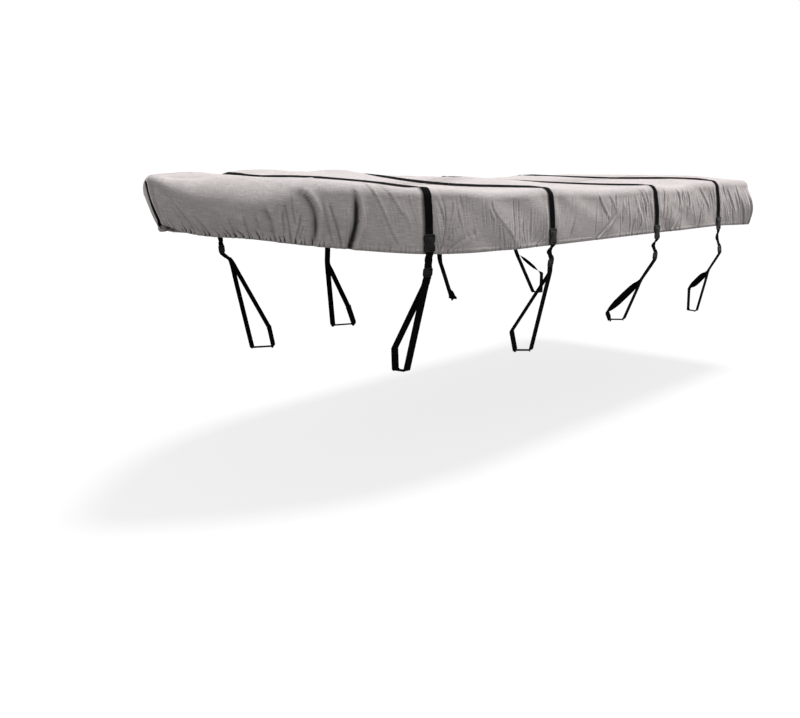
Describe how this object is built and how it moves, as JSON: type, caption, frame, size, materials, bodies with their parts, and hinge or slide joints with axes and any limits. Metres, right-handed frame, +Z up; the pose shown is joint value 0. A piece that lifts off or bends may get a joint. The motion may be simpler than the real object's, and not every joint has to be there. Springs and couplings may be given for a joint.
{
  "type": "boat cover",
  "caption": "Fitted grey cloth cover for an open boat, with a gathered hem and black webbing straps that buckle down to its trailer.",
  "frame": {"origin": "underside of the cover's top, on the centreline at mid-length, where the boat's cockpit or its support pole carries it", "axes": "+X from the stem to the transom, +Z up, -Y to port"},
  "size_m": [7.1421, 2.5564, 1.6234],
  "materials": {
    "cover_cloth": "matt heathered weave",
    "webbing": "matt ribbed webbing",
    "buckle_plastic": "satin moulded"
  },
  "bodies": {
    "root": {"cover_cloth": "cover_cloth", "top_strap_a": "webbing", "top_strap_b": "webbing", "top_strap_c": "webbing", "top_strap_d": "webbing", "upper_buckle_port_a": "buckle_plastic", "link_strap_port_a": "webbing", "lower_buckle_port_a": "buckle_plastic", "tie_loop_port_a": "webbing", "upper_buckle_port_b": "buckle_plastic", "link_strap_port_b": "webbing", "lower_buckle_port_b": "buckle_plastic", "tie_loop_port_b": "webbing", "upper_buckle_port_c": "buckle_plastic", "link_strap_port_c": "webbing", "lower_buckle_port_c": "buckle_plastic", "tie_loop_port_c": "webbing", "upper_buckle_port_d": "buckle_plastic", "link_strap_port_d": "webbing", "lower_buckle_port_d": "buckle_plastic", "tie_loop_port_d": "webbing", "upper_buckle_starboard_a": "buckle_plastic", "link_strap_starboard_a": "webbing", "lower_buckle_starboard_a": "buckle_plastic", "tie_loop_starboard_a": "webbing", "upper_buckle_starboard_b": "buckle_plastic", "link_strap_starboard_b": "webbing", "lower_buckle_starboard_b": "buckle_plastic", "tie_loop_starboard_b": "webbing", "upper_buckle_starboard_c": "buckle_plastic", "link_strap_starboard_c": "webbing", "lower_buckle_starboard_c": "buckle_plastic", "tie_loop_starboard_c": "webbing", "upper_buckle_starboard_d": "buckle_plastic", "link_strap_starboard_d": "webbing", "lower_buckle_starboard_d": "buckle_plastic", "tie_loop_starboard_d": "webbing"}
  },
  "joints": []
}
